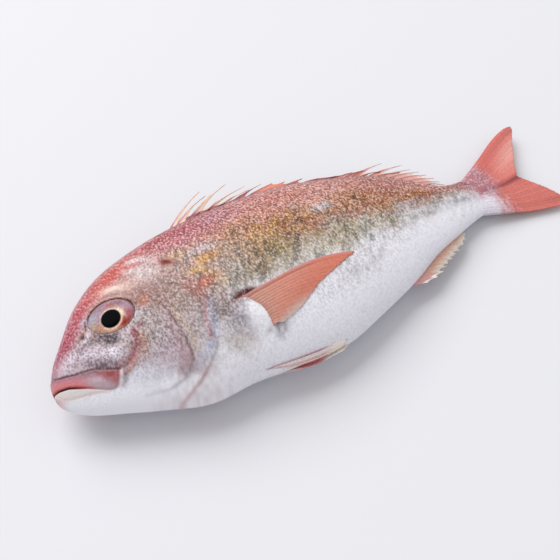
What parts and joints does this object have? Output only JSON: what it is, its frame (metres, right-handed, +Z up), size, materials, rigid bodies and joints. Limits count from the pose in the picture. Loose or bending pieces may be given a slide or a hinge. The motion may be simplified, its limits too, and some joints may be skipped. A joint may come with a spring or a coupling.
{
  "type": "whole raw sea bream",
  "caption": "Whole raw sea bream lying on its side, with a deep flat body, closed mouth, gill covers, folded fins and a forked tail.",
  "frame": {"origin": "middle of the bounding box at the level of the surface that the fish lies on", "axes": "+X from snout to tail, +Y from belly to back, +Z up from the right flank to the left flank"},
  "size_m": [0.317, 0.128, 0.0418],
  "materials": {
    "skin": "moist scaly fish skin, coral red on the back, gold and olive on the upper flank and silver white below",
    "eye": "wet clear eye with a black pupil in a gold and copper iris"
  },
  "bodies": {
    "root": {"fish": "skin", "eye_left": "eye", "eye_right": "eye"}
  },
  "joints": []
}
